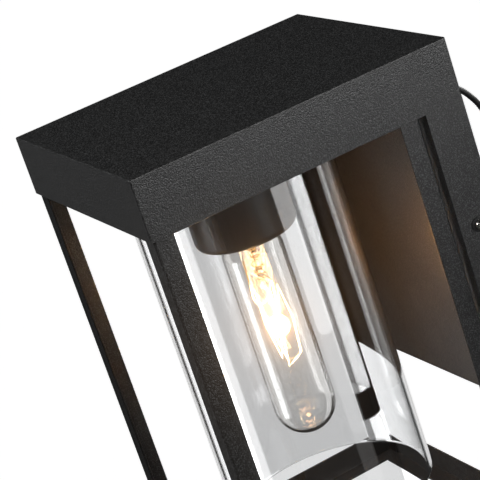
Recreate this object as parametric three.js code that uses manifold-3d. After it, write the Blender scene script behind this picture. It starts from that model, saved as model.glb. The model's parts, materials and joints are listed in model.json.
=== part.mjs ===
// Outdoor wall lantern: a flat roof welded to a shallow wall box, an open cage of
// steel angle under the roof, and a clear glass cylinder round a tubular bulb.
//
// Millimetres. +X is the lantern's right side, -Y points away from the wall, +Z is up.
// The origin is on the wall plane, at the middle of the mounting plate's rear face.

import * as THREE from 'three';
import { mergeVertices } from 'three/addons/utils/BufferGeometryUtils.js';
import Module from 'manifold-3d';

const wasm = await Module();
wasm.setup();

// ---- Driving dimensions -----------------------------------------------------------

const WIDTH = 146;               // roof, wall box and bottom ring, side to side
const DEPTH = 160;               // wall to the roof's front face
const HEIGHT = 240;              // roof's top to the ring's underside
const WALL_BOX_HEIGHT = 174;     // roof's top to the wall box's underside
const WALL_BOX_DEPTH = 20;
const SKIRT = 29.5;              // height of the roof's sides
const SHEET = 1.2;               // housing and ring sheet
const GAP = 0.3;                 // clearance between pieces that touch
const LEG = 10;                  // width of each leg of an angle
const GROOVE = 3;                // open slot between the wall box and the rear posts
const RING_HEIGHT = 13;
const GLASS_RADIUS = 50;
const GLASS_LENGTH = 183;
const GLASS_WALL = 2.5;
const CUP_RADIUS = 25;
const CUP_BOTTOM_DROP = 69;      // roof's top to the socket cup's rim
const BULB_RADIUS = 15.2;
const BULB_TIP_DROP = 173.5;     // roof's top to the bulb's tip
const LEAD_DIAMETER = 3;
const WIRE_DIAMETER = 2.2;       // insulated leads inside

// ---- Levels and planes worked out from them ---------------------------------------

const HALF_WIDTH = WIDTH / 2;
const ROOF_TOP = WALL_BOX_HEIGHT / 2;
const WALL_BOX_BOTTOM = ROOF_TOP - WALL_BOX_HEIGHT;
const ROOF_RIM = ROOF_TOP - SKIRT;
const RING_BOTTOM = ROOF_TOP - HEIGHT;
const RING_TOP = RING_BOTTOM + RING_HEIGHT;
const INSET = SHEET + GAP;                       // posts stand just inside the sheet
const CAGE_HALF_WIDTH = HALF_WIDTH - INSET;
const CAGE_FRONT = -DEPTH + INSET;
const CAGE_REAR = -WALL_BOX_DEPTH - GROOVE;
const LAMP_Y = (CAGE_FRONT + CAGE_REAR) / 2;     // the lamp hangs in the cage's middle
const CUP_BOTTOM = ROOF_TOP - CUP_BOTTOM_DROP;
const BULB_TIP = ROOF_TOP - BULB_TIP_DROP;

// Stack under the roof, from the lamp plate down to the socket cup.
const PLATE_THICKNESS = 1.5;
const PLATE_BOTTOM = ROOF_RIM + 5.4;
const PLATE_TOP = PLATE_BOTTOM + PLATE_THICKNESS;
const GASKET = 1.2;
const UPPER_GASKET_TOP = PLATE_BOTTOM - GAP;
const GLASS_TOP = UPPER_GASKET_TOP - GASKET - GAP;
const GLASS_LIP = 3;             // the glass turns inwards at its top
const GLASS_ROUND = 5;
const LIP_BORE = CUP_RADIUS - 5;
const GLASS_BOTTOM = GLASS_TOP - GLASS_LENGTH;
const LOWER_GASKET_TOP = GLASS_TOP - GLASS_LIP - GAP;
const CUP_TOP = LOWER_GASKET_TOP - GASKET - GAP;
const CUP_SHEET = 1.2;
const CUP_ROUND = 4;
const GASKET_BORE = CUP_RADIUS - 4.6;
const UPPER_GASKET_RADIUS = 32;
const SOCKET_TOP = CUP_TOP - CUP_SHEET - GAP;
const NIPPLE_RADIUS = 4.9;
const NIPPLE_BORE = 3.3;
const NIPPLE_TOP = PLATE_TOP + 9;
const NIPPLE_CLEARANCE = NIPPLE_RADIUS + GAP;
const NIPPLE_WASHER_TOP = PLATE_TOP + 1.5;

// Medium-base lamp socket and bulb base.
const SOCKET_RADIUS = 19;
const SOCKET_BOTTOM = CUP_BOTTOM + 2;
const SCREW_SHELL_RADIUS = 13.6;
const BASE_RADIUS = 13;
const BASE_BOTTOM = SOCKET_BOTTOM + 2.4;
const BASE_HEIGHT = 20;
const BASE_TOP = BASE_BOTTOM + BASE_HEIGHT;
const INSULATOR_TOP = BASE_TOP + GAP + 2.4;
const TIP_TOP = INSULATOR_TOP + GAP + 1.2;
const SOCKET_FLOOR = TIP_TOP + 2.6;
const NIPPLE_SEAT = SOCKET_FLOOR + 2;            // the nipple is screwed in down to here

// Wall side.
const SCREW_Y = -10.5;           // clamp screws, in from the wall plane
const PLATE_HALF_WIDTH = 68.2;
const PLATE_HALF_HEIGHT = 82.2;
const WALL_PLATE_THICKNESS = 2;
const LEAD_HEIGHT = 45;          // the supply lead's hole in the mounting plate
const GROUND_SCREW_HEIGHT = -40;

// Screws: pan heads inside the lantern, and small ones with a rubber washer in its sides.
const PAN_SCREW = { headRadius: 3.8, headHeight: 2.4, shankRadius: 1.9 };
const PAN_SCREW_HOLE = 2.3;
const PLATE_SCREW_LENGTH = 9;
const GROUND_SCREW_LENGTH = 4.5;
const CLAMP_SCREW = { headRadius: 2.6, headHeight: 2, shankRadius: 1.5 };
const CLAMP_SCREW_HOLE = 1.8;
const CLAMP_SCREW_LENGTH = 12;
const CLAMP_WASHER_RADIUS = 3.5;
const CLAMP_WASHER_THICKNESS = 0.8;

// ---- Finishes ---------------------------------------------------------------------

const finish = (color, roughness, metalness, opacity = 1) => new THREE.MeshStandardMaterial({
  color, roughness, metalness, opacity, transparent: opacity < 1,
});
const BLACK_COAT = finish(0x262627, 0.55, 0.2);
const CUP_BLACK = finish(0x1d1c1b, 0.4, 0.3);
const ZINC = finish(0xb4b8bb, 0.35, 1);
const NICKEL = finish(0xd0d0d0, 0.2, 1);
const BRASS = finish(0xb9924a, 0.35, 1);
const CLEAR_GLASS = finish(0xe6eaec, 0.03, 0, 0.3);
const PHENOLIC = finish(0x151515, 0.45, 0);
const SILICONE = finish(0xc9c9c4, 0.8, 0);
const RUBBER = finish(0x111111, 0.85, 0);
const TUNGSTEN = finish(0xffb45a, 0.4, 0.6);
const BLACK_LEAD = finish(0x161616, 0.5, 0);
const WHITE_LEAD = finish(0xe8e6e0, 0.5, 0);
const GREEN_LEAD = finish(0x2f7d3b, 0.5, 0);

// ---- Shape helpers ----------------------------------------------------------------

function box(low, high) {
  const size = high.map((value, axis) => value - low[axis]);
  const middle = high.map((value, axis) => (value + low[axis]) / 2);
  return new THREE.BoxGeometry(...size).translate(...middle);
}

// A closed outline of [radius, z] points turned about the vertical axis, counter-clockwise
// as drawn with the radius to the right and z up.
function turned(outline, segments = 32) {
  const points = outline.map(([radius, z]) => new THREE.Vector2(radius, z));
  const closed = outline[0][0] === 0 && outline.at(-1)[0] === 0 ? points : [...points, points[0]];
  return new THREE.LatheGeometry(closed, segments).rotateX(Math.PI / 2);
}

function disc(radius, low, high, segments = 32) {
  return turned([[0, low], [radius, low], [radius, high], [0, high]], segments);
}

function ring(inner, outer, low, high, segments = 32) {
  return turned([[inner, low], [outer, low], [outer, high], [inner, high]], segments);
}

// Points of a round corner, from one angle to another in degrees.
function corner(radius, z, round, from, to, steps = 4) {
  return Array.from({ length: steps + 1 }, (_, step) => {
    const angle = THREE.MathUtils.degToRad(from + (to - from) * step / steps);
    return [radius + round * Math.cos(angle), z + round * Math.sin(angle)];
  });
}

// A flat outline of [x, y] points, raised from one level to another.
function raised(outline, low, high) {
  const shape = new THREE.Shape(outline.map(([x, y]) => new THREE.Vector2(x, y)));
  const depth = high - low;
  return new THREE.ExtrudeGeometry(shape, { depth, bevelEnabled: false }).translate(0, 0, low);
}

function tube(route, diameter, steps) {
  const curve = new THREE.CatmullRomCurve3(route.map((point) => new THREE.Vector3(...point)));
  const section = new THREE.Shape();
  section.absarc(0, 0, diameter / 2, 0, 2 * Math.PI);
  const options = { extrudePath: curve, steps, curveSegments: 4, bevelEnabled: false };
  return new THREE.ExtrudeGeometry(section, options);
}

function solid(geometry) {
  const bare = geometry.clone();
  bare.deleteAttribute('normal');
  bare.deleteAttribute('uv');
  const merged = mergeVertices(bare, 1e-4);
  return new wasm.Manifold(new wasm.Mesh({
    numProp: 3,
    vertProperties: new Float32Array(merged.attributes.position.array),
    triVerts: new Uint32Array(merged.index.array),
  }));
}

function geometryOf(manifold) {
  const { vertProperties, triVerts } = manifold.getMesh();
  const geometry = new THREE.BufferGeometry();
  geometry.setAttribute('position', new THREE.BufferAttribute(vertProperties, 3));
  geometry.setIndex(new THREE.BufferAttribute(triVerts, 1));
  return geometry;
}

const carve = (base, ...cutters) => geometryOf(
  cutters.reduce((left, cutter) => left.subtract(solid(cutter)), solid(base)));
const join = (...pieces) => geometryOf(
  pieces.map(solid).reduce((whole, piece) => whole.add(piece)));

const lantern = new THREE.Group();
lantern.name = 'outdoor_wall_lantern';

function place(name, geometry, material, x = 0, y = 0, z = 0) {
  const mesh = new THREE.Mesh(geometry, material);
  mesh.name = name;
  mesh.position.set(x, y, z);
  lantern.add(mesh);
  return mesh;
}

// ---- Housing: roof and wall box, welded into one shell ----------------------------

// The clamp screws' holes, right across the lantern.
const clampBore = () =>
  disc(CLAMP_SCREW_HOLE, -WIDTH, WIDTH, 16).rotateY(Math.PI / 2).translate(0, SCREW_Y, 0);

function housingShell() {
  const inner = HALF_WIDTH - SHEET;
  const ceiling = ROOF_TOP - SHEET;
  const wallBoxFront = -WALL_BOX_DEPTH;
  const sill = PLATE_BOTTOM - 0.9;               // above this the roof opens into the wall box
  const outside = join(
    box([-HALF_WIDTH, -DEPTH, ROOF_RIM], [HALF_WIDTH, 0, ROOF_TOP]),
    box([-HALF_WIDTH, wallBoxFront, WALL_BOX_BOTTOM], [HALF_WIDTH, 0, ROOF_RIM + 1]),
  );
  const underRoof = box([-inner, -DEPTH + SHEET, ROOF_RIM - 1], [inner, wallBoxFront, ceiling]);
  const inWallBox = box(
    [-inner, wallBoxFront + SHEET, WALL_BOX_BOTTOM + SHEET],
    [inner, 1, ceiling]);
  const leadPassage = box(
    [-inner, wallBoxFront - 1, sill],
    [inner, wallBoxFront + SHEET + 1, ceiling]);
  return carve(outside, underRoof, inWallBox, leadPassage, clampBore());
}

// ---- Cage: four angle posts, a ring of angle and the lamp plate -------------------

function anglePost(side, end) {
  const x = side * CAGE_HALF_WIDTH;
  const y = end > 0 ? CAGE_REAR : CAGE_FRONT;
  const outline = [
    [x, y],
    [x - side * LEG, y],
    [x - side * LEG, y - end * SHEET],
    [x - side * SHEET, y - end * SHEET],
    [x - side * SHEET, y - end * LEG],
    [x, y - end * LEG],
  ];
  return raised(outline, RING_BOTTOM + SHEET + GAP, PLATE_BOTTOM - GAP);
}

function bottomRing() {
  const rear = CAGE_REAR + INSET;
  const outside = box([-HALF_WIDTH, -DEPTH, RING_BOTTOM], [HALF_WIDTH, rear, RING_TOP]);
  const aboveFlange = box(
    [-HALF_WIDTH + SHEET, -DEPTH + SHEET, RING_BOTTOM + SHEET],
    [HALF_WIDTH - SHEET, rear - SHEET, RING_TOP + 1]);
  const opening = box(
    [-HALF_WIDTH + LEG, -DEPTH + LEG, RING_BOTTOM - 1],
    [HALF_WIDTH - LEG, rear - LEG, RING_TOP + 1]);
  return carve(outside, aboveFlange, opening);
}

const PLATE_SCREW_X = 65;
const PLATE_SCREW_REACH = 45;    // from the lamp's axis, to the front and to the rear
const BRACKET_FOOT = 12;
const BRACKET_HEIGHT = 14;
const plateScrewPlaces = [-1, 1].flatMap((side) => [-1, 1].map((end) => ({
  side, end, x: side * PLATE_SCREW_X, y: LAMP_Y + end * PLATE_SCREW_REACH,
})));

const plateScrewHoles = (places, low, high) =>
  places.map(({ x, y }) => disc(PAN_SCREW_HOLE, low - 1, high + 1, 16).translate(x, y, 0));

function lampPlate() {
  const blank = box(
    [-CAGE_HALF_WIDTH, CAGE_FRONT, PLATE_BOTTOM],
    [CAGE_HALF_WIDTH, CAGE_REAR, PLATE_TOP]);
  const nippleHole = disc(NIPPLE_CLEARANCE, PLATE_BOTTOM - 1, PLATE_TOP + 1, 24);
  const screwHoles = plateScrewHoles(plateScrewPlaces, PLATE_BOTTOM, PLATE_TOP);
  return carve(blank, nippleHole.translate(0, LAMP_Y, 0), ...screwHoles);
}

// An angle along one side of the lamp plate, up against the roof's skirt.
function plateBracket(side) {
  const outer = side * CAGE_HALF_WIDTH;
  const foot = PLATE_TOP + GAP;
  const outline = [
    [outer, foot],
    [outer, foot + BRACKET_HEIGHT],
    [outer - side * SHEET, foot + BRACKET_HEIGHT],
    [outer - side * SHEET, foot + SHEET],
    [outer - side * BRACKET_FOOT, foot + SHEET],
    [outer - side * BRACKET_FOOT, foot],
  ];
  const length = 2 * (PLATE_SCREW_REACH + BRACKET_FOOT);
  const angle = raised(outline, 0, length).rotateX(Math.PI / 2);
  const ownPlaces = plateScrewPlaces.filter((spot) => spot.side === side);
  const screwHoles = plateScrewHoles(ownPlaces, foot, foot + SHEET);
  return carve(angle.translate(0, LAMP_Y + length / 2, 0), ...screwHoles);
}

// A pan-head screw standing head down, with its bearing face at z = 0.
function panHeadScrew({ headRadius, headHeight, shankRadius }, length) {
  const head = turned([
    [0, -headHeight],
    [headRadius * 0.6, -headHeight],
    [headRadius * 0.9, -headHeight * 0.7],
    [headRadius, -headHeight * 0.3],
    [headRadius, 0],
    [shankRadius, 0],
    [shankRadius, length - 0.5],
    [shankRadius - 0.5, length],
    [0, length],
  ], 20);
  const arm = headRadius * 0.55;
  const depth = headHeight * 0.55;
  return carve(head,
    box([-arm, -0.4, -headHeight - 1], [arm, 0.4, -headHeight + depth]),
    box([-0.4, -arm, -headHeight - 1], [0.4, arm, -headHeight + depth]));
}

// ---- Lamp: glass, cup, socket and what clamps them to the lamp plate --------------

function glassCylinder() {
  const inner = GLASS_RADIUS - GLASS_WALL;
  const under = GLASS_TOP - GLASS_LIP;
  const innerRound = GLASS_ROUND - GLASS_WALL;
  return turned([
    [LIP_BORE, GLASS_TOP],
    [LIP_BORE, under],
    ...corner(inner - innerRound, under - innerRound, innerRound, 90, 0, 3),
    [inner, GLASS_BOTTOM],
    [GLASS_RADIUS, GLASS_BOTTOM],
    ...corner(GLASS_RADIUS - GLASS_ROUND, GLASS_TOP - GLASS_ROUND, GLASS_ROUND, 0, 90, 4),
  ], 64);
}

function socketCup() {
  const inside = CUP_RADIUS - CUP_SHEET;
  const innerRound = CUP_ROUND - CUP_SHEET;
  const rim = CUP_RADIUS - CUP_ROUND;
  return turned([
    [NIPPLE_CLEARANCE, CUP_TOP],
    [NIPPLE_CLEARANCE, CUP_TOP - CUP_SHEET],
    [inside, CUP_TOP - CUP_SHEET],
    ...corner(rim, CUP_BOTTOM + CUP_ROUND, innerRound, 0, -90),
    [rim - 0.6, CUP_BOTTOM + CUP_SHEET],
    [rim - 0.6, CUP_BOTTOM],
    ...corner(rim, CUP_BOTTOM + CUP_ROUND, CUP_ROUND, -90, 0),
    [CUP_RADIUS, CUP_TOP],
  ], 40);
}

function socketBody() {
  const mouth = SCREW_SHELL_RADIUS + 1;
  const chamfer = 3;
  return turned([
    [0, SOCKET_FLOOR],
    [mouth, SOCKET_FLOOR],
    [mouth, SOCKET_BOTTOM],
    [SOCKET_RADIUS, SOCKET_BOTTOM],
    [SOCKET_RADIUS, SOCKET_TOP - chamfer],
    [SOCKET_RADIUS - chamfer, SOCKET_TOP],
    [NIPPLE_CLEARANCE, SOCKET_TOP],
    [NIPPLE_CLEARANCE, NIPPLE_SEAT],
    [0, NIPPLE_SEAT],
  ], 32);
}

// A springy tongue above the bulb's tip contact.
function centreContact() {
  const halfWidth = 2.5;
  const outline = [
    [3, 1.6],
    [3.2, 1.4],
    [-0.4, 0.4],
    [0, 0],
    [4.8, 1.2],
    [5, 1.7],
    [4.4, 2.1],
    [-6, 2.1],
    [-6, 1.6],
  ];
  const tongue = raised(outline, -halfWidth, halfWidth).rotateX(Math.PI / 2);
  return tongue.translate(0, 0, TIP_TOP + GAP);
}

function hexNut(acrossFlats, bore, height) {
  const outer = acrossFlats / Math.sqrt(3);
  const points = Array.from({ length: 6 }, (_, index) => {
    const angle = index * Math.PI / 3;
    return [outer * Math.cos(angle), outer * Math.sin(angle)];
  });
  return carve(raised(points, 0, height), disc(bore, -1, height + 1, 24));
}

// ---- Bulb: long tubular envelope on a medium screw base ---------------------------

const NECK_RADIUS = 12.4;
const NECK_TOP = BASE_BOTTOM - GAP;
const ENVELOPE_WALL = 0.8;

function envelopeOutline(wall) {
  const radius = BULB_RADIUS - wall;
  const neck = NECK_RADIUS - wall;
  const domeCentre = BULB_TIP + BULB_RADIUS;
  const shoulder = CUP_BOTTOM - 9;
  return [
    ...corner(0, domeCentre, radius, -90, 0, 7),
    [radius, shoulder],
    [radius - 0.8, shoulder + 4.5],
    [neck + 0.5, shoulder + 9.5],
    [neck, NECK_TOP],
  ];
}

function bulbGlass() {
  const outside = envelopeOutline(0);
  const inside = envelopeOutline(ENVELOPE_WALL).reverse();
  return turned([...outside, ...inside].map(([radius, z]) => [Math.max(radius, 0), z]), 32);
}

function bulbBase() {
  return ring(BASE_RADIUS - 0.8, BASE_RADIUS, BASE_BOTTOM, BASE_TOP, 32);
}

function bulbInsulator() {
  const low = BASE_TOP + GAP;
  return turned([[0, low], [10.5, low], [6, INSULATOR_TOP], [0, INSULATOR_TOP]], 24);
}

function bulbTip() {
  const low = INSULATOR_TOP + GAP;
  return turned([[0, low], [4.8, low], [3.6, TIP_TOP], [0, TIP_TOP]], 20);
}

// The glass flare and rod that hold the filament's wires.
const STEM_TOP = NECK_TOP - 0.5;
const ROD_BOTTOM = CUP_BOTTOM - 22;

function bulbStem() {
  return turned([
    [0, ROD_BOTTOM],
    [1.6, ROD_BOTTOM + 1],
    [1.4, CUP_BOTTOM - 8],
    [3.6, CUP_BOTTOM - 4],
    [5, CUP_BOTTOM],
    [9.5, STEM_TOP],
    [0, STEM_TOP],
  ], 20);
}

// A zigzag of four long strands round the lamp's axis, hung between two levels.
const FILAMENT_TOP = ROD_BOTTOM - 3;
const FILAMENT_BOTTOM = ROOF_TOP - 141;
const FILAMENT_SPREAD = 5;
const FILAMENT_DIAMETER = 0.7;
const STRANDS = 4;

function filament() {
  const bends = Array.from({ length: STRANDS + 1 }, (_, index) => {
    const angle = Math.PI / 4 + index * 2 * Math.PI / (STRANDS + 1);
    const z = index % 2 === 0 ? FILAMENT_TOP : FILAMENT_BOTTOM;
    return [FILAMENT_SPREAD * Math.cos(angle), FILAMENT_SPREAD * Math.sin(angle), z];
  });
  return tube(bends, FILAMENT_DIAMETER, 24);
}

// ---- Wall side: mounting plate, its gasket, clamp screws and wiring ---------------

const CUT = 20;                  // half the depth of a cutter through the plate
const BOX_SLOT = { reach: 42, width: 5, length: 14 };
const CORNER_HOLE = { x: 50, z: 62, radius: 2.6 };
const GROMMET_NECK = 7;
const GASKET_DEPTH = 4;

function slot(x, { width, length }) {
  return box([x - length / 2, -CUT, -width / 2], [x + length / 2, CUT, width / 2]);
}

function hole(x, z, radius, segments = 20) {
  return disc(radius, -CUT, CUT, segments).rotateX(Math.PI / 2).translate(x, 0, z);
}

function mountingPlate() {
  const tabReach = 16.5;
  const tabHalf = 14;
  const tabThickness = 1.5;
  const front = -WALL_PLATE_THICKNESS;
  const plate = box(
    [-PLATE_HALF_WIDTH, front, -PLATE_HALF_HEIGHT],
    [PLATE_HALF_WIDTH, 0, PLATE_HALF_HEIGHT]);
  const tab = box(
    [PLATE_HALF_WIDTH - tabThickness, -tabReach, -tabHalf],
    [PLATE_HALF_WIDTH, front + 1, tabHalf]);
  const farTab = tab.clone().translate(tabThickness - 2 * PLATE_HALF_WIDTH, 0, 0);
  const boxSlots = [-1, 1].map((side) => slot(side * BOX_SLOT.reach, BOX_SLOT));
  const cornerHoles = [-1, 1].flatMap((side) => [-1, 1].map((end) =>
    hole(side * CORNER_HOLE.x, end * CORNER_HOLE.z, CORNER_HOLE.radius)));
  const leadHole = hole(0, LEAD_HEIGHT, GROMMET_NECK + GAP, 28);
  const groundHole = hole(0, GROUND_SCREW_HEIGHT, PAN_SCREW_HOLE);
  const blank = join(plate, tab, farTab);
  return carve(blank, leadHole, groundHole, clampBore(), ...boxSlots, ...cornerHoles);
}

function wallGasket() {
  const outerX = HALF_WIDTH - SHEET - GAP;
  const outerZ = ROOF_TOP - SHEET - GAP;
  const innerX = PLATE_HALF_WIDTH + GAP;
  const innerZ = PLATE_HALF_HEIGHT + GAP;
  return carve(
    box([-outerX, -GASKET_DEPTH, -outerZ], [outerX, 0, outerZ]),
    box([-innerX, -GASKET_DEPTH - 1, -innerZ], [innerX, 1, innerZ]));
}

// A rubber bush with a groove that the plate's edge sits in.
function leadGrommet() {
  const bore = LEAD_DIAMETER / 2 + GAP;
  const flange = 9;
  const flangeFront = -6;
  const flangeRear = -WALL_PLATE_THICKNESS - GAP;
  return turned([
    [bore, flangeFront],
    [flange, flangeFront],
    [flange, flangeRear],
    [GROMMET_NECK, flangeRear],
    [GROMMET_NECK, 0],
    [bore, 0],
  ], 28).rotateX(-Math.PI / 2).translate(0, 0, LEAD_HEIGHT);
}

// The free supply lead: out of the grommet, then down behind the wall plane.
const supplyRoute = [
  [0, 0.3, 45],
  [0, 6, 45.2],
  [0, 13, 45.6],
  [0, 20, 45.3],
  [0, 27, 43.8],
  [0, 33, 41.2],
  [0, 38, 37.6],
  [0, 42.4, 32.2],
  [0, 45.8, 26],
  [0, 48.2, 18.5],
  [0, 49.4, 10.5],
  [0, 49.6, 2],
  [0, 49, -7],
  [0, 47.6, -16],
  [0, 45.6, -25],
  [0, 43.2, -34],
  [0, 40.6, -43],
  [0, 38, -52],
];

const BARE_LENGTH = 9;           // stripped copper at the lead's end
const BARE_DIAMETER = 1.2;

function bareEnd() {
  const last = new THREE.Vector3(...supplyRoute.at(-1));
  const before = new THREE.Vector3(...supplyRoute.at(-2));
  const along = last.clone().sub(before).normalize();
  const start = last.clone().addScaledVector(along, GAP);
  const end = start.clone().addScaledVector(along, BARE_LENGTH);
  const middle = start.clone().lerp(end, 0.5);
  return tube([start.toArray(), middle.toArray(), end.toArray()], BARE_DIAMETER, 3);
}

// Inside, both socket leads climb out of the nipple and run back over the lamp plate.
// The black one goes on to the grommet and the white one ends in the wall box.
const toGrommet = [
  [4, -13, 61],
  [2, -13.6, 55],
  [0.4, -12.6, 49.5],
  [0, -9, 45.6],
  [0, -3, 45],
  [0, -0.3, 45],
];
const toWhiteEnd = [
  [-6, -12.5, 62],
  [-8, -11.5, 48],
  [-12, -11, 30],
  [-20, -11, 18],
  [-30, -11, 16],
];

function innerRoute(side) {
  return [
    [side * 1.5, LAMP_Y, NIPPLE_TOP],
    [side * 1.6, LAMP_Y, NIPPLE_TOP + 4],
    [side * 2, LAMP_Y + 5, NIPPLE_TOP + 8],
    [side * 2.5, LAMP_Y + 14, NIPPLE_TOP + 9.5],
    [side * 4, -50, NIPPLE_TOP + 9],
    [side * 5, -28, NIPPLE_TOP + 6],
    [side * 5, -17, NIPPLE_TOP],
    ...(side > 0 ? toGrommet : toWhiteEnd),
  ];
}

const groundRoute = [
  [4.6, -7.2, -40],
  [14, -7.6, -37],
  [22, -8.4, -28],
  [26, -9, -16],
  [26, -9, -2],
  [22, -9, 8],
];

// ---- Assembly ---------------------------------------------------------------------

const sides = { left: -1, right: 1 };
const ends = { front: -1, rear: 1 };

place('housing_shell', housingShell(), BLACK_COAT);
place('bottom_ring', bottomRing(), BLACK_COAT);
place('lamp_plate', lampPlate(), BLACK_COAT);
for (const [endName, end] of Object.entries(ends)) {
  for (const [sideName, side] of Object.entries(sides)) {
    place(`post_${endName}_${sideName}`, anglePost(side, end), BLACK_COAT);
  }
}
for (const [sideName, side] of Object.entries(sides)) {
  place(`plate_bracket_${sideName}`, plateBracket(side), ZINC);
}
for (const { side, end, x, y } of plateScrewPlaces) {
  const name = `plate_screw_${end < 0 ? 'front' : 'rear'}_${side < 0 ? 'left' : 'right'}`;
  const screw = panHeadScrew(PAN_SCREW, PLATE_SCREW_LENGTH);
  place(name, screw, BLACK_COAT, x, y, PLATE_BOTTOM - GAP);
}

const placeOnAxis = (name, geometry, material) => place(name, geometry, material, 0, LAMP_Y);
const upperGasket = ring(
  GASKET_BORE, UPPER_GASKET_RADIUS, UPPER_GASKET_TOP - GASKET, UPPER_GASKET_TOP);
const lowerGasket = ring(
  GASKET_BORE, CUP_RADIUS - 0.5, LOWER_GASKET_TOP - GASKET, LOWER_GASKET_TOP);
const spacer = ring(
  NIPPLE_CLEARANCE, LIP_BORE - 0.5, CUP_TOP + GAP, PLATE_BOTTOM - GAP);
const screwShell = ring(
  SCREW_SHELL_RADIUS - 0.3, SCREW_SHELL_RADIUS + 0.6, BASE_BOTTOM - 1, BASE_TOP);
const nipple = ring(NIPPLE_BORE, NIPPLE_RADIUS, NIPPLE_SEAT + GAP, NIPPLE_TOP);
const nippleWasher = ring(NIPPLE_CLEARANCE, 9, PLATE_TOP + GAP, NIPPLE_WASHER_TOP);
const nippleNut = hexNut(14, NIPPLE_CLEARANCE, 5).translate(0, 0, NIPPLE_WASHER_TOP + GAP);
placeOnAxis('glass_cylinder', glassCylinder(), CLEAR_GLASS);
placeOnAxis('glass_gasket_upper', upperGasket, SILICONE);
placeOnAxis('glass_gasket_lower', lowerGasket, SILICONE);
placeOnAxis('glass_spacer', spacer, PHENOLIC);
placeOnAxis('socket_cup', socketCup(), CUP_BLACK);
placeOnAxis('socket_body', socketBody(), PHENOLIC);
placeOnAxis('socket_screw_shell', screwShell, BRASS);
placeOnAxis('centre_contact', centreContact(), BRASS);
placeOnAxis('threaded_nipple', nipple, ZINC);
placeOnAxis('nipple_washer', nippleWasher, ZINC);
placeOnAxis('nipple_nut', nippleNut, ZINC);

placeOnAxis('bulb_glass', bulbGlass(), CLEAR_GLASS);
placeOnAxis('bulb_base', bulbBase(), NICKEL);
placeOnAxis('bulb_insulator', bulbInsulator(), PHENOLIC);
placeOnAxis('bulb_tip_contact', bulbTip(), BRASS);
placeOnAxis('bulb_stem', bulbStem(), CLEAR_GLASS);
placeOnAxis('bulb_filament', filament(), TUNGSTEN);

place('mounting_plate', mountingPlate(), ZINC);
place('wall_gasket', wallGasket(), RUBBER);
place('lead_grommet', leadGrommet(), RUBBER);
for (const [sideName, side] of Object.entries(sides)) {
  const washer = ring(CLAMP_SCREW_HOLE, CLAMP_WASHER_RADIUS, 0, CLAMP_WASHER_THICKNESS, 24);
  const washerX = side * (HALF_WIDTH + GAP);
  place(`clamp_washer_${sideName}`, washer.rotateY(side * Math.PI / 2), RUBBER, washerX, SCREW_Y);
  const screw = panHeadScrew(CLAMP_SCREW, CLAMP_SCREW_LENGTH);
  const screwX = washerX + side * (CLAMP_WASHER_THICKNESS + GAP);
  place(`clamp_screw_${sideName}`, screw.rotateY(-side * Math.PI / 2), NICKEL, screwX, SCREW_Y);
}
const groundScrew = panHeadScrew(PAN_SCREW, GROUND_SCREW_LENGTH).rotateX(-Math.PI / 2);
place('ground_screw', groundScrew, GREEN_LEAD, 0, -WALL_PLATE_THICKNESS - GAP, GROUND_SCREW_HEIGHT);
place('inner_lead_black', tube(innerRoute(1), WIRE_DIAMETER, 32), BLACK_LEAD);
place('inner_lead_white', tube(innerRoute(-1), WIRE_DIAMETER, 32), WHITE_LEAD);
place('ground_lead', tube(groundRoute, WIRE_DIAMETER, 18), GREEN_LEAD);
place('supply_lead', tube(supplyRoute, LEAD_DIAMETER, 20), BLACK_LEAD);
place('supply_lead_copper', bareEnd(), BRASS);

export default lantern;
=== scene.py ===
"""Looks for an outdoor wall lantern: sandy black powder coat, a clear glass cylinder and a glowing
tubular bulb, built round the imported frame. Metres; +X is right, -Y away from the wall, +Z up."""

import json
import math
import bmesh
import bpy
from mathutils import Matrix, Vector


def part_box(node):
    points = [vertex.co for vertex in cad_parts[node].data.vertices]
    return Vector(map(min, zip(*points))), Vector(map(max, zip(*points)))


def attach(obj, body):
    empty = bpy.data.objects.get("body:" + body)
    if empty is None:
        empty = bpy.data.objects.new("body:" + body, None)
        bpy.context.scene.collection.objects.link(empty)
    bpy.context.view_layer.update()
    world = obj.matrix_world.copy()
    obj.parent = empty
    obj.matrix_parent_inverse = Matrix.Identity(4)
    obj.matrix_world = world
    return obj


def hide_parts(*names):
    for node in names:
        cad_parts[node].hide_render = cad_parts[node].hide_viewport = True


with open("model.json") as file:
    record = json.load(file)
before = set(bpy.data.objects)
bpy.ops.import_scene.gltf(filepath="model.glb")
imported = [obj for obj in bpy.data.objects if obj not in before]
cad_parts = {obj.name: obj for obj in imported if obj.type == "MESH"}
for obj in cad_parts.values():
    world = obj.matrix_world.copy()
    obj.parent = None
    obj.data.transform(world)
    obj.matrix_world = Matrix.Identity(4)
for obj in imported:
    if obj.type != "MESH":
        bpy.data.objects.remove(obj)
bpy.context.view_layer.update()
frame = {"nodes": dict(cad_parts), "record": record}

MM = 0.001
UP = Vector((0, 0, 1))
NODES = frame["nodes"]
RECORD = frame["record"]
SLOT_OF = {part["node"]: part["material_slot"] for part in RECORD["subparts"]}
BODY_OF = {node: body for body, nodes in RECORD["behaviour"]["bodies"].items() for node in nodes}

# ---- Sizes read from the frame ---------------------------------------------------------

CUP_LOW, CUP_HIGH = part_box("socket_cup")
GLASS_LOW, GLASS_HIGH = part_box("glass_cylinder")
BULB_LOW, BULB_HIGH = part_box("bulb_glass")
BASE_LOW, BASE_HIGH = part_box("bulb_base")
LAMP = Vector(((CUP_LOW.x + CUP_HIGH.x) / 2, (CUP_LOW.y + CUP_HIGH.y) / 2, 0))
CUP_RADIUS = (CUP_HIGH.x - CUP_LOW.x) / 2
GLASS_RADIUS = (GLASS_HIGH.x - GLASS_LOW.x) / 2
BULB_RADIUS = (BULB_HIGH.x - BULB_LOW.x) / 2
BASE_RADIUS = (BASE_HIGH.x - BASE_LOW.x) / 2
CUP_RIM = CUP_LOW.z

# ---- Sizes that the frame doesn't give -------------------------------------------------

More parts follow.
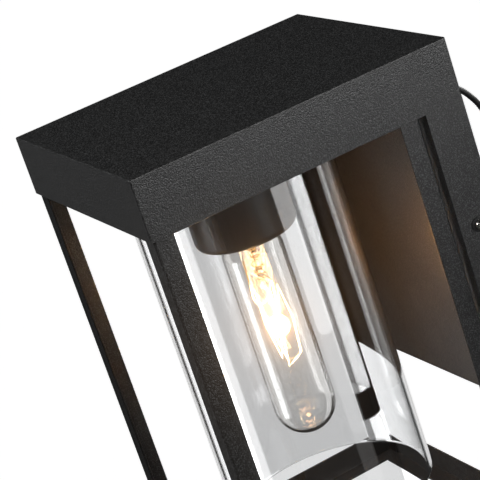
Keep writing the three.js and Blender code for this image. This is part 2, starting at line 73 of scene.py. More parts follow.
WALL_BOX_DEPTH = 20 * MM
SHEET_EASE = 0.35 * MM          # rounding along the cut edges of the sheet metal
SHEET_BEND = 1.2 * MM           # outer radius of its bends
POST_BEND = 1.1 * MM
PLATE_EASE = 0.3 * MM
WALL_PLATE_EASE = 0.25 * MM
FOAM_EASE = 0.5 * MM
SMALL_EASE = 0.15 * MM          # rounding on the small turned and moulded parts
CLAMP_RECESS = (1.5 * MM, 1 * MM)       # reach and depth of a screw's cross recess
PLATE_RECESS = (2 * MM, 1.2 * MM)
RECESS_SLOT = 0.42              # a recess bar's width over its reach

# ---- Camera ----------------------------------------------------------------------------

CAMERA_TARGET = Vector((0, -95.1, 16.6)) * MM
CAMERA_DISTANCE = 0.9725
CAMERA_AZIMUTH = math.radians(69.85)      # from the lantern's front towards its right side
CAMERA_ELEVATION = math.radians(18.27)
CAMERA_ROLL = math.radians(18.9)
CAMERA_LENS = 155.7             # millimetres


def direction(azimuth, elevation=0.0):
    """The unit vector that points from the lantern to that azimuth and elevation."""
    level = math.cos(elevation)
    return Vector((math.sin(azimuth) * level, -math.cos(azimuth) * level, math.sin(elevation)))


def set_camera():
    """The photo's viewpoint. The camera is rolled, so the lantern stands tilted in the picture."""
    camera = bpy.data.objects.new("camera", bpy.data.cameras.new("camera"))
    camera.data.lens = CAMERA_LENS
    back = direction(CAMERA_AZIMUTH, CAMERA_ELEVATION)
    level_up = (UP - back * UP.dot(back)).normalized()
    level_right = level_up.cross(back)
    right = level_right * math.cos(CAMERA_ROLL) - level_up * math.sin(CAMERA_ROLL)
    up = level_right * math.sin(CAMERA_ROLL) + level_up * math.cos(CAMERA_ROLL)
    turn = Matrix((right, up, back)).transposed().to_4x4()
    camera.matrix_world = Matrix.Translation(CAMERA_TARGET + back * CAMERA_DISTANCE) @ turn
    bpy.context.collection.objects.link(camera)
    bpy.context.scene.camera = camera


set_camera()

# ---- Materials -------------------------------------------------------------------------


class Finish:
    """A Principled material, with helpers for the nodes that vary it over the surface."""

    def __init__(self, name, **sockets):
        self.material = bpy.data.materials.new(name)
        self.material.use_nodes = True
        self.tree = self.material.node_tree
        self.shader = self.tree.nodes["Principled BSDF"]
        self.place = self.tree.nodes.new("ShaderNodeTexCoord").outputs["Object"]
        for socket, value in sockets.items():
            self.shader.inputs[socket.replace("_", " ")].default_value = value

    def node(self, kind, **inputs):
        """A new node with the values given for its sockets."""
        made = self.tree.nodes.new(kind)
        for name, value in inputs.items():
            made.inputs[name.replace("_", " ")].default_value = value
        return made

    def noise(self, size, detail=2.0, roughness=0.5, stretch=(1, 1, 1)):
        """Soft noise whose blotches are about size across, in metres."""
        mapping = self.node("ShaderNodeMapping", Scale=stretch)
        noise = self.node("ShaderNodeTexNoise", Scale=1 / size, Detail=detail, Roughness=roughness)
        self.tree.links.new(self.place, mapping.inputs["Vector"])
        self.tree.links.new(mapping.outputs["Vector"], noise.inputs["Vector"])
        return noise.outputs["Fac"]

    def height(self):
        """How high a point is in the object's own frame, in metres."""
        parts = self.node("ShaderNodeSeparateXYZ")
        self.tree.links.new(self.place, parts.inputs["Vector"])
        return parts.outputs["Z"]

    def spread(self, value, low, high, start=0.3, end=0.7):
        """value from start to end becomes low to high. Noise hardly leaves 0.3 to 0.7."""
        spread = self.node("ShaderNodeMapRange")
        for name, number in zip(("From Min", "From Max", "To Min", "To Max"), (start, end, low, high)):
            spread.inputs[name].default_value = number
        self.tree.links.new(value, spread.inputs["Value"])
        return spread.outputs["Result"]

    def colours(self, value, *stops):
        """A colour ramp through (position, colour) stops."""
        node = self.node("ShaderNodeValToRGB")
        ramp = node.color_ramp
        while len(ramp.elements) < len(stops):
            ramp.elements.new(0.5)
        for element, (position, colour) in zip(ramp.elements, stops):
            element.position = position
            element.color = (*colour, 1)
        self.tree.links.new(value, node.inputs["Fac"])
        return node.outputs["Color"]

    def bump(self, height, depth, strength=1.0, under=None):
        """A bump of that depth in metres, on top of another bump where one is given."""
        bump = self.node("ShaderNodeBump", Strength=strength, Distance=depth)
        self.tree.links.new(height, bump.inputs["Height"])
        if under:
            self.tree.links.new(under, bump.inputs["Normal"])
        return bump.outputs["Normal"]

    def drive(self, **sockets):
        """Link a source to each of the shader's sockets named, and return the material."""
        for socket, source in sockets.items():
            self.tree.links.new(source, self.shader.inputs[socket.replace("_", " ")])
        return self.material


def grey(value, tint=0.0):
    """A grey, with a little more blue where tint is above 0 and more red below it."""
    return (value * (1 - tint), value, value * (1 + tint))


GRAIN_SIZE = 0.62 * MM
GRAIN_HEIGHT = 0.17 * MM
COOL = 0.01                     # a trace of blue in the black


def black_coat():
    """Sandy powder coat: pinhead grains, some of them pale, with finer grit between them."""
    finish = Finish("black_coat", Specular_IOR_Level=0.5)
    grains = finish.noise(GRAIN_SIZE, detail=2, roughness=0.6)
    grit = finish.noise(0.25 * MM, detail=2)
    blotches = finish.noise(14 * MM, detail=3)
    colour = finish.colours(
        grains, (0.3, grey(0.005, COOL)), (0.5, grey(0.012, COOL)), (0.72, grey(0.08, COOL)))
    lumps = finish.bump(grains, GRAIN_HEIGHT)
    return finish.drive(
        Base_Color=colour,
        Roughness=finish.spread(blotches, 0.29, 0.33),
        Normal=finish.bump(grit, 0.03 * MM, 0.6, under=lumps),
    )


def cup_black():
    """Satin lacquer with a light orange peel."""
    finish = Finish("cup_black", Specular_IOR_Level=0.35)
    peel = finish.noise(0.8 * MM, detail=2)
    colour = finish.colours(peel, (0.3, grey(0.016)), (0.75, grey(0.038)))
    return finish.drive(
        Base_Color=colour,
        Roughness=finish.spread(peel, 0.34, 0.46),
        Normal=finish.bump(peel, 0.05 * MM, 0.5),
    )


def glass(name, ior, tint, painted_outline_shade, edge_start):
    """Clear glass whose colour darkens near its outline. A little of that is the longer way through
    it, and the rest is painted shade that draws its dark edges. A Mix node's colour sockets have the
    same names as its other ones, so they are picked by number."""
    finish = Finish(name, Transmission_Weight=1.0, IOR=ior, Roughness=0.0)
    facing = finish.node("ShaderNodeLayerWeight", Blend=0.5).outputs["Facing"]
    cloud = finish.spread(finish.noise(40 * MM, detail=1), 0.98, 1.0)
    # Painted shade: the colour darkens towards the outline, where the surface turns away from the
    # view.
    clear = finish.colours(facing, (0.0, tint), (edge_start, tint), (0.95, painted_outline_shade))
    clouded_with_painted_outline = finish.node("ShaderNodeMix")
    clouded_with_painted_outline.data_type = "RGBA"
    clouded_with_painted_outline.blend_type = "MULTIPLY"
    clouded_with_painted_outline.inputs["Factor"].default_value = 1.0
    finish.tree.links.new(clear, clouded_with_painted_outline.inputs[6])
    finish.tree.links.new(cloud, clouded_with_painted_outline.inputs[7])
    return finish.drive(Base_Color=clouded_with_painted_outline.outputs[2])


def plated(name, dark, light, rough, stretch=(1, 1, 1)):
    """Plated or bare metal with a drawn grain and tarnish in soft patches."""
    finish = Finish(name, Metallic=1.0)
    patches = finish.noise(7 * MM, detail=4)
    grain = finish.noise(0.5 * MM, detail=3, stretch=stretch)
    return finish.drive(
        Base_Color=finish.colours(patches, (0.3, dark), (0.7, light)),
        Roughness=finish.spread(grain, rough * 0.75, rough * 1.25),
        Normal=finish.bump(grain, 0.02 * MM, 0.3),
    )


def moulded(name, dark, light, rough, grain_size=0.6 * MM, depth=0.04 * MM):
    """Moulded plastic or rubber: a fine skin over soft mottling."""
    finish = Finish(name)
    skin = finish.noise(grain_size, detail=3)
    mottle = finish.noise(5 * MM, detail=3)
    return finish.drive(
        Base_Color=finish.colours(mottle, (0.3, dark), (0.7, light)),
        Roughness=finish.spread(skin, rough * 0.85, rough * 1.15),
        Normal=finish.bump(skin, depth, 0.5),
    )


FILAMENT_GLOW = 25.0


def glowing_tungsten():
    """Wire that is white-hot along the middle and golden in the cooler coil round the rod."""
    finish = Finish("tungsten", Base_Color=(0.3, 0.2, 0.12, 1), Roughness=0.5)
    heat = finish.spread(finish.height(), 0, 1, start=BULB_LOW.z, end=CUP_RIM)
    colour = finish.colours(
        heat, (0.3, (1.0, 0.66, 0.3)), (0.5, (1.0, 0.74, 0.42)), (0.76, (1.0, 0.62, 0.26)),
        (0.8, (1.0, 0.6, 0.2)))
    strength = finish.colours(
        heat, (0.3, grey(0.25)), (0.42, grey(1.0)), (0.7, grey(1.0)), (0.78, grey(0.03)))
    glow = finish.spread(strength, 0, FILAMENT_GLOW, start=0, end=1)
    return finish.drive(Emission_Color=colour, Emission_Strength=glow)


FINISHES = {
    "black_coat": black_coat(),
    "cup_black": cup_black(),
    "zinc": plated("zinc", (0.36, 0.37, 0.39), (0.55, 0.56, 0.58), 0.38),
    "nickel": plated("nickel", (0.62, 0.6, 0.57), (0.78, 0.76, 0.72), 0.2),
    "brass": plated("brass", (0.45, 0.3, 0.11), (0.66, 0.47, 0.2), 0.32),
    "copper": plated("copper", (0.6, 0.26, 0.14), (0.8, 0.42, 0.27), 0.28),
    # The last two values of each glass set its painted dark outline and where that outline begins.
    "shade_glass": glass("shade_glass", 1.9, (0.87, 0.875, 0.88), (0.5, 0.5, 0.5), 0.75),
    "bulb_glass": glass("bulb_glass", 1.75, (1.0, 0.995, 0.985), (0.2, 0.19, 0.17), 0.68),
    "phenolic": moulded("phenolic", grey(0.008), grey(0.018), 0.42),
    "silicone": moulded("silicone", grey(0.42, -0.02), grey(0.56, -0.02), 0.6),
    "rubber": moulded("rubber", grey(0.007), grey(0.016), 0.75, 0.9 * MM, 0.12 * MM),
    "black_wire": moulded("black_wire", grey(0.008), grey(0.014), 0.36, 1.2 * MM, 0.02 * MM),
    "white_wire": moulded("white_wire", grey(0.66, -0.03), grey(0.8, -0.03), 0.4, 1.2 * MM),
    "green_wire": moulded("green_wire", (0.02, 0.16, 0.04), (0.04, 0.26, 0.07), 0.4, 1.2 * MM),
    "green_screw": moulded("green_screw", (0.02, 0.14, 0.04), (0.05, 0.27, 0.09), 0.3),
    "tungsten": glowing_tungsten(),
}
for name, obj in NODES.items():
    obj.material_slots[0].material = FINISHES[SLOT_OF[name]]

# ---- Building helpers ------------------------------------------------------------------


def stand_for(obj, node, *others):
    """obj takes the place of a CAD node: its body, its slot and its finish."""
    obj.data.materials.clear()
    obj.data.materials.append(FINISHES[SLOT_OF[node]])
    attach(obj, BODY_OF[node])
    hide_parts(node, *others)
    return obj


def mesh_object(name, mesh_builder, smooth_below=40):
    """An object from a filled bmesh, shaded smooth except at corners sharper than that."""
    bmesh.ops.recalc_face_normals(mesh_builder, faces=mesh_builder.faces)
    mesh = bpy.data.meshes.new(name)
    mesh_builder.to_mesh(mesh)
    mesh_builder.free()
    mesh.polygons.foreach_set("use_smooth", [True] * len(mesh.polygons))
    mesh.set_sharp_from_angle(angle=math.radians(smooth_below))
    obj = bpy.data.objects.new(name, mesh)
    bpy.context.collection.objects.link(obj)
    return obj


def arc(centre, height, radius, start, end, steps=8):
    """[radius, height] points round a centre, from one angle in degrees to another."""
    angles = [math.radians(start + (end - start) * step / steps) for step in range(steps + 1)]
    return [(centre + radius * math.cos(a), height + radius * math.sin(a)) for a in angles]


GUARD = 0.15 * MM
ON_AXIS = 1e-7                  # a point of an outline this close to the axis is on it
ON_PLANE = 1e-5
SAME_POINT = 1e-6
FLAT_ANGLE = 0.01               # faces this close to flush, in radians, become one
CORNER_ANGLE = 0.6              # an edge sharper than this, in radians, gets eased


def guarded(outline):
    """The closed outline with a point close to each end of every long straight stretch, so that
    the shading of the rounds next to it doesn't run into it."""
    points = [Vector(point) for point in outline]
    guarded_points = []
    for point, after in zip(points, points[1:] + points[:1]):
        guarded_points.append(point)
        step = after - point
        if step.length > 10 * GUARD:
            step = step.normalized() * GUARD
            guarded_points += [point + step, after - step]
    return guarded_points


def turned(name, outline, segments=96, place=Matrix.Translation(LAMP), ripple=None):
    """A closed outline of (radius, height) turned about an upright axis, then set in place.
    ripple(radius, height, angle) gives the radius where the surface isn't quite round."""
    builder = bmesh.new()
    rings = []
    for radius, height in guarded(outline):
        if radius < ON_AXIS:
            rings.append([builder.verts.new((0, 0, height))] * segments)
            continue
        ring = []
        for step in range(segments):
            angle = 2 * math.pi * step / segments
            reach = ripple(radius, height, angle) if ripple else radius
            ring.append(builder.verts.new((reach * math.cos(angle), reach * math.sin(angle), height)))
        rings.append(ring)
    for ring, above in zip(rings, rings[1:] + rings[:1]):
        for step in range(segments):
            after = (step + 1) % segments
            corners = dict.fromkeys((ring[step], ring[after], above[after], above[step]))
            if len(corners) > 2:
                builder.faces.new(corners)
    bmesh.ops.transform(builder, matrix=place, verts=builder.verts)
    return mesh_object(name, builder)


def lies_on(edge, planes):
    """How many of the (axis, value) planes hold the whole edge."""
    return sum(all(abs(v.co[axis] - value) < ON_PLANE for v in edge.verts)
               for axis, value in planes)


def softened(node, edge=SHEET_EASE, bend=SHEET_BEND, planes=()):
    """A copy of a node with its edges eased. An edge where two of the planes meet is a bend in
    sheet metal, and gets the larger radius."""
    builder = bmesh.new()
    builder.from_mesh(NODES[node].data)
    bmesh.ops.remove_doubles(builder, verts=builder.verts, dist=SAME_POINT)
    bmesh.ops.dissolve_limit(
        builder, angle_limit=FLAT_ANGLE, verts=builder.verts, edges=builder.edges)
    weight = builder.edges.layers.float.new("bevel_weight_edge")
    for side in builder.edges:
        if side.calc_face_angle(0) > CORNER_ANGLE:
            side[weight] = 1.0 if lies_on(side, planes) > 1 else edge / bend
    mesh = bpy.data.meshes.new(node + "_eased")
    builder.to_mesh(mesh)
    builder.free()
    mesh.polygons.foreach_set("use_smooth", [True] * len(mesh.polygons))
    obj = bpy.data.objects.new(node + "_eased", mesh)
    bpy.context.collection.objects.link(obj)
    bevel = obj.modifiers.new("eased_edges", "BEVEL")
    bevel.limit_method = "WEIGHT"
    bevel.width = bend
    bevel.segments = 4
    obj.modifiers.new("flat_faces", "WEIGHTED_NORMAL").keep_sharp = True
    return stand_for(obj, node)


def wires(name, routes, radius, smooth=True, resolution=6):
    """Round wires along lists of points, all in one curve object."""
    curve = bpy.data.curves.new(name, "CURVE")
    curve.dimensions = "3D"
    curve.bevel_depth = radius
    curve.bevel_resolution = 3
    curve.use_fill_caps = True
    curve.resolution_u = resolution
    for route in routes:
        spline = curve.splines.new("BEZIER" if smooth else "POLY")
        points = spline.bezier_points if smooth else spline.points
        points.add(len(route) - 1)
        for point, place in zip(points, route):
            if smooth:
                point.co = place
                point.handle_left_type = "AUTO"
                point.handle_right_type = "AUTO"
            else:
                point.co = (*place, 1)
    obj = bpy.data.objects.new(name, curve)
    bpy.context.collection.objects.link(obj)
    return obj


# ---- Supply lead -----------------------------------------------------------------------

LEAD_DIAMETER = 3 * MM
LEAD_ROUTE = [Vector((0, y, z)) * MM for y, z in (
    (0.3, 45), (6, 45.2), (13, 45.6), (20, 45.3), (27, 43.8), (33, 41.2), (38, 37.6), (42.4, 32.2),
    (45.8, 26), (48.2, 18.5), (49.4, 10.5), (49.6, 2), (49, -7), (47.6, -16), (45.6, -25),
    (43.2, -34), (40.6, -43), (38, -52))]


def bare_strands():
    """Seven twisted copper strands that leave the stripped end."""
    low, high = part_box("supply_lead_copper")
    end = LEAD_ROUTE[-1]
    along = (LEAD_ROUTE[-1] - LEAD_ROUTE[-2]).normalized()
    kept_short = 0.97           # of the CAD piece's length, so that the ends stay in its box
    length = (high.z - low.z) / abs(along.z) * kept_short
    side = along.cross(Vector((1, 0, 0))).normalized()
    other = along.cross(side)
    strand = 0.2 * MM
    tucked = 0.8 * MM           # how far the strands reach back into the insulation
    twist = 0.9                 # turns over the stripped length
    splay = 0.12                # how much further out two of the strands end
    steps = 14
    routes = []
    for number in range(7):
        lay = 2 * strand if number else 0
        route = []
        for step in range(steps + 1):
            share = step / steps
            turn = 2 * math.pi * (number / 6 + twist * share)
            reach = lay * (1 + splay * share * (number % 3 == 1))
            place = end - along * tucked + along * (length + tucked) * share
            route.append(place + side * reach * math.cos(turn) + other * reach * math.sin(turn))
        routes.append(route)
    return stand_for(wires("supply_lead_strands", routes, strand), "supply_lead_copper")


strands = bare_strands()
lead = wires("supply_lead_flex", [LEAD_ROUTE], LEAD_DIAMETER / 2, resolution=12)
lead.data.bevel_resolution = 6
stand_for(lead, "supply_lead")

# ---- Housing and cage ------------------------------------------------------------------


def housing():
    """The roof and wall box. Its bends lie where two of its outer planes meet."""
    low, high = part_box("housing_shell")
    softened("housing_shell", planes=[
        (0, low.x), (0, high.x), (1, low.y), (1, -WALL_BOX_DEPTH), (2, low.z), (2, high.z)])


def posts():
    """Four posts of angle, each with one bend at its outer corner."""
    for end in ("front", "rear"):
        for side in ("left", "right"):
            node = f"post_{end}_{side}"
            low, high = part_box(node)
            softened(node, bend=POST_BEND, planes=[
                (0, low.x if side == "left" else high.x), (1, low.y if end == "front" else high.y)])


def ring():
    """The ring of angle under the cage, rounded most at its outer corners and lower edges."""
    low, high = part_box("bottom_ring")
    softened("bottom_ring", planes=[
        (0, low.x), (0, high.x), (1, low.y), (1, high.y), (2, low.z)])


housing()
posts()
ring()
softened("lamp_plate", edge=PLATE_EASE)
softened("mounting_plate", edge=WALL_PLATE_EASE)
softened("wall_gasket", edge=FOAM_EASE)

# ---- Lamp ------------------------------------------------------------------------------


def glass_cylinder():
    """The shade: its foot is fire-polished round, and its top turns in over the cup."""
    wall = 2.5 * MM
    lip = 3 * MM
    lip_round = 1.2 * MM
    lip_bore = CUP_RADIUS - 5 * MM
    shoulder = 5 * MM
    inner = GLASS_RADIUS - wall
    foot = wall / 2
    low, high = GLASS_LOW.z, GLASS_HIGH.z
    outline = [
        *arc(lip_bore + lip_round, high - lip_round, lip_round, 90, 180, 4),
        *arc(lip_bore + lip_round, high - lip + lip_round, lip_round, 180, 270, 4),
        *arc(inner - shoulder + wall, high - lip - shoulder + wall, shoulder - wall, 90, 0),
        *arc(inner + foot, low + foot, foot, 180, 360, 12),
        *arc(GLASS_RADIUS - shoulder, high - shoulder, shoulder, 0, 90),
    ]
    stand_for(turned("glass_cylinder_clear", outline, segments=384), "glass_cylinder")


def socket_cup():
    """A spun cup, open below, with a rounded lower edge and a hole for the nipple."""
    sheet = 1.2 * MM
    round_edge = 4 * MM
    rim = CUP_RADIUS - round_edge
    neck = 5.2 * MM
    top_round = 1 * MM
    low, high = CUP_LOW.z, CUP_HIGH.z
    outline = [
        (neck, high),
        (neck, high - sheet),
        (CUP_RADIUS - sheet, high - sheet),
        *arc(rim, low + round_edge, round_edge - sheet, 0, -90),
        *arc(rim - 0.6 * MM, low + sheet / 2, sheet / 2, 90, 270, 6),
        *arc(rim, low + round_edge, round_edge, -90, 0, 10),
        *arc(CUP_RADIUS - top_round, high - top_round, top_round, 0, 90, 4),
    ]
    stand_for(turned("socket_cup_round", outline, segments=160), "socket_cup")


def gaskets():
    """The two silicone rings that hold the glass by its lip."""
    for node in ("glass_gasket_upper", "glass_gasket_lower"):
        low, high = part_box(node)
        outer = (high.x - low.x) / 2
        bore = CUP_RADIUS - 4.6 * MM
        half = (high.z - low.z) / 2
        outline = [
            *arc(bore + half, low.z + half, half, 90, 270, 6),
            *arc(outer - half, low.z + half, half, -90, 90, 6),
        ]
        stand_for(turned(node + "_round", outline), node)


ENVELOPE_WALL = 0.8 * MM


def envelope_outline(inset):
    """The bulb's profile from its tip up to the neck, drawn in by inset."""
    radius = BULB_RADIUS - inset
    neck = 12.4 * MM - inset
    dome = BULB_LOW.z + BULB_RADIUS
    shoulder = CUP_RIM - 9 * MM
    rise = 10 * MM
    steps = 8
    outline = arc(0, dome, radius, -90, 0, 20)
    for step in range(1, steps + 1):
        share = step / steps
        ease = share * share * (3 - 2 * share)
        outline.append((radius + (neck - radius) * ease, shoulder + rise * share))
    outline.append((neck, BULB_HIGH.z))
    return [(max(reach, 0), height) for reach, height in outline]


def bulb_envelope():
    """The bulb's thin glass, hollow and open at its neck."""
    outline = envelope_outline(0) + envelope_outline(ENVELOPE_WALL)[::-1]
    stand_for(turned("bulb_envelope", outline, segments=256), "bulb_glass")


def bulb_stem():
    """The glass flare, its pressed waist and the rod that holds the supports."""
    low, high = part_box("bulb_stem")
    waist = CUP_RIM - 6 * MM
    outline = [
        (0, low.z),
        *arc(0, low.z + 2.2 * MM, 2.2 * MM, -80, 40, 8),
        (1.2 * MM, low.z + 5 * MM),
        (1.1 * MM, waist - 3 * MM),
        (2.6 * MM, waist),
        (3.4 * MM, waist + 3 * MM),
        (4.2 * MM, waist + 6 * MM),
        (6.4 * MM, high.z - 3 * MM),
        (9 * MM, high.z),
        (0, high.z),
    ]
    stand_for(turned("bulb_stem_glass", outline, segments=48), "bulb_stem")


THREAD_PITCH = 3.629 * MM


def bulb_base():
    """The screw cap: a rolled thread between plain ends."""
    depth = 0.9 * MM
    wall = 0.8 * MM
    plain = 2.2 * MM
    low, high = BASE_LOW.z, BASE_HIGH.z
    steps = 72
    heights = [low + (high - low) * step / steps for step in range(steps + 1)]
    crest = BASE_RADIUS
    outline = [(crest, height) for height in heights]
    outline.append((crest - wall - depth, high))
    outline.append((crest - wall - depth, low))

    def thread(radius, height, angle):
        if radius < crest:
            return radius
        fade = min(1, (height - low) / plain, (high - height) / plain)
        wave = 0.5 - 0.5 * math.cos(2 * math.pi * (height / THREAD_PITCH) + angle)
        return radius - depth * wave * max(0, fade)

    stand_for(turned("bulb_base_threaded", outline, ripple=thread), "bulb_base")


CAGE_TOP = -9 * MM
CAGE_BOTTOM = -53 * MM
CAGE_BOW = 1.3                  # how far the wire bows out between two hooks
CAGE_HOOKS = (
    # Where the filament turns back: angle in degrees, distance from the axis and height
    (116, 5.6 * MM, CAGE_TOP), (176, 4 * MM, CAGE_BOTTOM), (56, 6.5 * MM, -45.6 * MM),
    (40, 6.5 * MM, CAGE_TOP), (296, 4.5 * MM, -45 * MM), (236, 5.6 * MM, CAGE_TOP),
    (330, 4 * MM, -47 * MM), (356, 5.6 * MM, CAGE_TOP))
LEAD_IN_FOOT = 5.4 * MM         # where the lead-in wires meet the filament
SIDE_LOOP = (
    # The wire that hangs down one side, in the same terms
    (240, 6.2 * MM, LEAD_IN_FOOT), (243, 6.6 * MM, -8 * MM), (246, 6.4 * MM, -15.5 * MM),
    (250, 4.5 * MM, -17.2 * MM))
COIL_TOP = 12 * MM
COIL_RADIUS = 2.3 * MM
COIL_TURNS = 9
WIRE_RADIUS = 0.4 * MM
COIL_WIRE_RADIUS = 0.24 * MM
SUPPORT_RADIUS = 0.16 * MM


def round_axis(reach, angle, height):
    """The point that far from the lamp's axis, at that angle and height."""
    return LAMP + Vector((reach * math.cos(angle), reach * math.sin(angle), height))


def hooks(places):
    """The points for a list of (angle in degrees, distance from the axis, height)."""
    return [round_axis(reach, math.radians(angle), height) for angle, reach, height in places]


def coil_route():
    """An uneven coil round the stem's rod."""
    steps = 14 * COIL_TURNS
    route = []
    for step in range(steps + 1):
        share = step / steps
        swell = COIL_RADIUS * (0.6 + 0.5 * math.sin(11 * share) ** 2 + 0.3 * math.sin(31 * share))
        sag = 0.9 * MM * math.sin(23 * share)
        route.append(round_axis(swell, 2 * math.pi * COIL_TURNS * share,
                                COIL_TOP + (CAGE_TOP - COIL_TOP) * share + sag))
    return route


def cage_route():
    """The zigzag from hook to hook, which bows outwards a little between them."""
    route = []
    turns = hooks(CAGE_HOOKS)
    for hook, after in zip(turns, turns[1:]):
        middle = (hook + after) / 2 - LAMP
        bow = Vector((middle.x * CAGE_BOW, middle.y * CAGE_BOW, middle.z)) + LAMP
        route += [hook, bow]
    return route + turns[-1:]


def filament():
    """A golden coil round the rod, and the white-hot wire that zigzags down its cage."""
    cage = wires("bulb_filament_cage", [cage_route()], WIRE_RADIUS, smooth=False)
    side_loop = hooks(SIDE_LOOP) + hooks(CAGE_HOOKS[:1])
    stand_for(cage, "bulb_filament")
    stand_for(wires("bulb_filament_side", [side_loop], WIRE_RADIUS), "bulb_filament")
    stand_for(wires("bulb_filament_coil", [coil_route()], COIL_WIRE_RADIUS), "bulb_filament")


def filament_supports():
    """The rod's hooks, the long centre wire with its lower hooks and the two lead-in wires."""
    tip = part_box("bulb_stem")[0].z + 1 * MM
    routes = []
    for hook in hooks(CAGE_HOOKS):
        upper = hook.z > CAGE_BOTTOM / 2
        root = LAMP + UP * (tip if upper else CAGE_BOTTOM + 5 * MM)
        bow = (hook + root) / 2 + UP * (1.2 * MM if upper else -0.8 * MM)
        routes.append([root, bow, hook])
    routes.append([LAMP + UP * height for height in (tip, -25 * MM, CAGE_BOTTOM)])
    for angle in (60, 240):
        routes.append(hooks([
            (angle, 3 * MM, CUP_RIM), (angle, 5 * MM, 11 * MM), (angle, 6.2 * MM, LEAD_IN_FOOT)]))
    supports = wires("bulb_filament_supports", routes, SUPPORT_RADIUS)
    supports.data.materials.append(FINISHES["nickel"])
    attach(supports, "bulb")


glass_cylinder()
socket_cup()
gaskets()
bulb_envelope()
bulb_stem()
bulb_base()
filament()
filament_supports()

# ---- Screws and rubber at the wall -----------------------------------------------------


def clamp_washers():
    """The rubber washer under each side screw's head."""
    for side, sign in (("left", -1), ("right", 1)):
        low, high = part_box(f"clamp_washer_{side}")
        centre = (low + high) / 2
        outer = (high.z - low.z) / 2
        half = (high.x - low.x) / 2
        bore = 1.8 * MM
        outline = [
            (bore, -half),
            *arc(outer - half, 0, half, -90, 90, 8),
            (bore, half),
        ]
        place = Matrix.Translation(centre) @ Matrix.Rotation(sign * math.pi / 2, 4, "Y")
        washer = turned(f"clamp_washer_{side}_round", outline, segments=64, place=place)
        stand_for(washer, f"clamp_washer_{side}")


def cross_cutter(name, face, outwards, reach, depth):
    """Two crossed bars that stand in a screw head's face."""
    bars = bmesh.new()
    size = Matrix.Diagonal((2 * reach, RECESS_SLOT * reach, 2 * depth, 1))
    for turn in (0, math.pi / 2):
        bmesh.ops.create_cube(bars, size=1, matrix=Matrix.Rotation(turn, 4, "Z") @ size)
    stand = outwards.to_track_quat("Z", "Y").to_matrix().to_4x4()
    bmesh.ops.transform(bars, matrix=Matrix.Translation(face) @ stand, verts=bars.verts)
    return mesh_object(name, bars)


def cross_recessed(node, outwards, reach, depth):
    """A copy of a screw with a cross recess cut into the end of its head."""
    low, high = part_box(node)
    outwards = Vector(outwards)
    half_length = abs((high - low).dot(outwards)) / 2
    face = (low + high) / 2 + outwards * half_length
    cutter = cross_cutter(node + "_cutter", face, outwards, reach, depth)
    blank = bpy.data.objects.new(node + "_blank", NODES[node].data.copy())
    bpy.context.collection.objects.link(blank)
    cut = blank.modifiers.new("recess", "BOOLEAN")
    cut.object = cutter
    cut.use_self = True
    graph = bpy.context.evaluated_depsgraph_get()
    builder = bmesh.new()
    builder.from_mesh(blank.evaluated_get(graph).to_mesh())
    for scrap in (cutter, blank):
        bpy.data.objects.remove(scrap)
    stand_for(mesh_object(node + "_cross", builder, smooth_below=35), node)


def screws():
    """Cross recesses in the clamp screws and the lamp plate's screws."""
    for side, sign in (("left", -1), ("right", 1)):
        cross_recessed(f"clamp_screw_{side}", (sign, 0, 0), *CLAMP_RECESS)
        for end in ("front", "rear"):
            cross_recessed(f"plate_screw_{end}_{side}", (0, 0, -1), *PLATE_RECESS)


def small_parts():
    """Every CAD piece that is still shown gets its edges eased a little."""
    for name in sorted(NODES):
        if not NODES[name].hide_render:
            softened(name, edge=SMALL_EASE, bend=SMALL_EASE)


clamp_washers()
screws()
small_parts()

# ---- Floor, light and background -------------------------------------------------------

FLOOR_DROP = 1.1
FLOOR_HALF = 30
FLOOR_SEEN = 1.0                # brightness to the camera
FLOOR_FELT = 0.02               # brightness to the lantern
ROOM_SEEN = 1.0
ROOM_FELT = 0.01
BOX_DISTANCE = 1.2
GLASSWARE = ("glass_cylinder_clear", "bulb_envelope", "bulb_stem_glass")
# The floor glows by itself, and the cage's far side is dark in the photo
SHADED = ("floor", "post_front_left_eased", "post_rear_left_eased")
SOFTBOXES = (
    # name, azimuths in degrees, heights in metres, radiance and what it lights
    ("softbox_front", (-27, -4), (-0.75, -0.2), 8, "glassware"),
    ("softbox_front_edge", (-4, 7), (-0.75, -0.2), 2, "glassware"),
    ("softbox_left", (-72, -57), (-0.7, -0.2), 1.2, "glassware"),
    ("softbox_side", (108, 127), (-0.48, -0.1), 1.6, "glassware"),
    ("softbox_side_foot", (108, 127), (-0.6, -0.48), 0.5, "glassware"),
    ("softbox_side_toe", (108, 127), (-0.8, -0.6), 0.2, "glassware"),
    ("softbox_rim_right", (216, 244), (-0.85, 0.05), 0.8, "glassware"),
    ("softbox_rim_left", (256, 284), (-0.85, 0.05), 0.8, "glassware"),
    ("softbox_key", (100, 128), (0.0, 0.3), 12, "metal"),
    ("softbox_high", (-25, 25), (0.7, 1.2), 22, "metal"),
    ("softbox_back", (165, 195), (0.1, 0.5), 8, "metal"),
    ("softbox_far_side", (-125, -105), (-0.7, -0.3), 8, "metal"),
)
LAMP_POWER = 0.27
LAMP_COLOUR = (1.0, 0.45, 0.13)
LAMP_SIZE = 6 * MM
BLOOM_THRESHOLD = 1.6
BLOOM_STRENGTH = 0.5
BLOOM_SIZE = 0.35
BLOOM_TINT = (1.0, 0.95, 0.86, 1)


def seen_or_felt(tree, seen, felt):
    """Bright where the camera looks, also through glass, and dimmer for what lights the lantern."""
    path = tree.nodes.new("ShaderNodeLightPath")
    bounces = tree.nodes.new("ShaderNodeMath")
    bounces.operation = "ADD"
    tone = tree.nodes.new("ShaderNodeMapRange")
    tone.inputs["To Min"].default_value = seen
    tone.inputs["To Max"].default_value = felt
    tree.links.new(path.outputs["Diffuse Depth"], bounces.inputs[0])
    tree.links.new(path.outputs["Glossy Depth"], bounces.inputs[1])
    tree.links.new(bounces.outputs[0], tone.inputs["Value"])
    return tone.outputs["Result"]


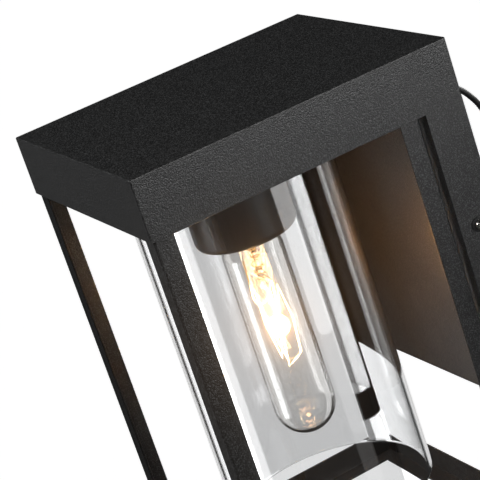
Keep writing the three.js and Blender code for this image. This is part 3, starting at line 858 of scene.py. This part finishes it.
def pale_floor():
    """A plain pale floor, bright like a light table, far below the lantern."""
    builder = bmesh.new()
    bmesh.ops.create_grid(builder, x_segments=8, y_segments=8, size=FLOOR_HALF)
    bmesh.ops.translate(builder, verts=builder.verts, vec=(0, 0, -FLOOR_DROP))
    floor = mesh_object("floor", builder)
    finish = Finish("floor", Roughness=0.9, Emission_Color=(1, 1, 1, 1))
    tone = finish.colours(finish.noise(0.5, detail=3), (0.3, grey(0.4)), (0.7, grey(0.44)))
    glow = seen_or_felt(finish.tree, FLOOR_SEEN, FLOOR_FELT)
    floor.data.materials.append(finish.drive(Base_Color=tone, Emission_Strength=glow))


def reach_only(light, pieces, state):
    """Flag the pieces so that the light reaches just them, or everything but them."""
    flagged = bpy.data.collections.new(light.name + "_flags")
    for piece in pieces:
        flagged.objects.link(bpy.data.objects[piece])
    for entry in flagged.collection_objects:
        entry.light_linking.link_state = state
    light.light_linking.receiver_collection = flagged


def softbox(name, azimuths, heights, radiance, lights):
    """An upright lamp that faces the lantern from between two azimuths in degrees. It lights
    the glassware only, or all the metal but the cage's far side."""
    start, end = (math.radians(angle) for angle in azimuths)
    data = bpy.data.lights.new(name, "AREA")
    data.shape = "RECTANGLE"
    data.size = 2 * BOX_DISTANCE * math.tan((end - start) / 2)
    data.size_y = heights[1] - heights[0]
    data.energy = radiance * math.pi * data.size * data.size_y
    box = bpy.data.objects.new(name, data)
    back = direction((start + end) / 2)
    turn = Matrix((UP.cross(back), UP, back)).transposed().to_4x4()
    place = LAMP + back * BOX_DISTANCE + UP * (heights[0] + heights[1]) / 2
    box.matrix_world = Matrix.Translation(place) @ turn
    box.visible_camera = False
    bpy.context.collection.objects.link(box)
    if lights == "glassware":
        reach_only(box, GLASSWARE, "INCLUDE")
    else:
        reach_only(box, (*GLASSWARE, *SHADED), "EXCLUDE")


def dim_room():
    """White where the camera looks, but dim where it lights the lantern."""
    world = bpy.data.worlds.new("room")
    world.use_nodes = True
    background = world.node_tree.nodes["Background"]
    background.inputs["Color"].default_value = (1, 1, 1, 1)
    glow = seen_or_felt(world.node_tree, ROOM_SEEN, ROOM_FELT)
    world.node_tree.links.new(glow, background.inputs["Strength"])
    bpy.context.scene.world = world


def lamp_glow():
    """The warm light that the filament throws on the housing. The glass lets it through."""
    low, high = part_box("bulb_filament")
    data = bpy.data.lights.new("filament_light", "POINT")
    data.energy = LAMP_POWER
    data.color = LAMP_COLOUR
    data.shadow_soft_size = LAMP_SIZE
    light = bpy.data.objects.new("filament_light", data)
    light.location = LAMP + UP * (low.z + high.z) / 2
    bpy.context.collection.objects.link(light)
    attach(light, "bulb")
    reach_only(light, (*SHADED, "socket_cup_round"), "EXCLUDE")
    for piece in GLASSWARE:
        bpy.data.objects[piece].visible_shadow = False
        bpy.data.objects[piece].visible_diffuse = False


def bloom():
    """The soft halo that a lens draws round the over-exposed filament."""
    scene = bpy.context.scene
    scene.use_nodes = True
    nodes, links = scene.node_tree.nodes, scene.node_tree.links
    nodes.clear()
    layers = nodes.new("CompositorNodeRLayers")
    glare = nodes.new("CompositorNodeGlare")
    glare.glare_type = "BLOOM"
    glare.inputs["Threshold"].default_value = BLOOM_THRESHOLD
    glare.inputs["Strength"].default_value = BLOOM_STRENGTH
    glare.inputs["Tint"].default_value = BLOOM_TINT
    glare.inputs["Size"].default_value = BLOOM_SIZE
    composite = nodes.new("CompositorNodeComposite")
    links.new(layers.outputs["Image"], glare.inputs["Image"])
    links.new(glare.outputs["Image"], composite.inputs["Image"])


pale_floor()
dim_room()
for box in SOFTBOXES:
    softbox(*box)
lamp_glow()
bloom()
bpy.context.scene.view_settings.view_transform = "Standard"
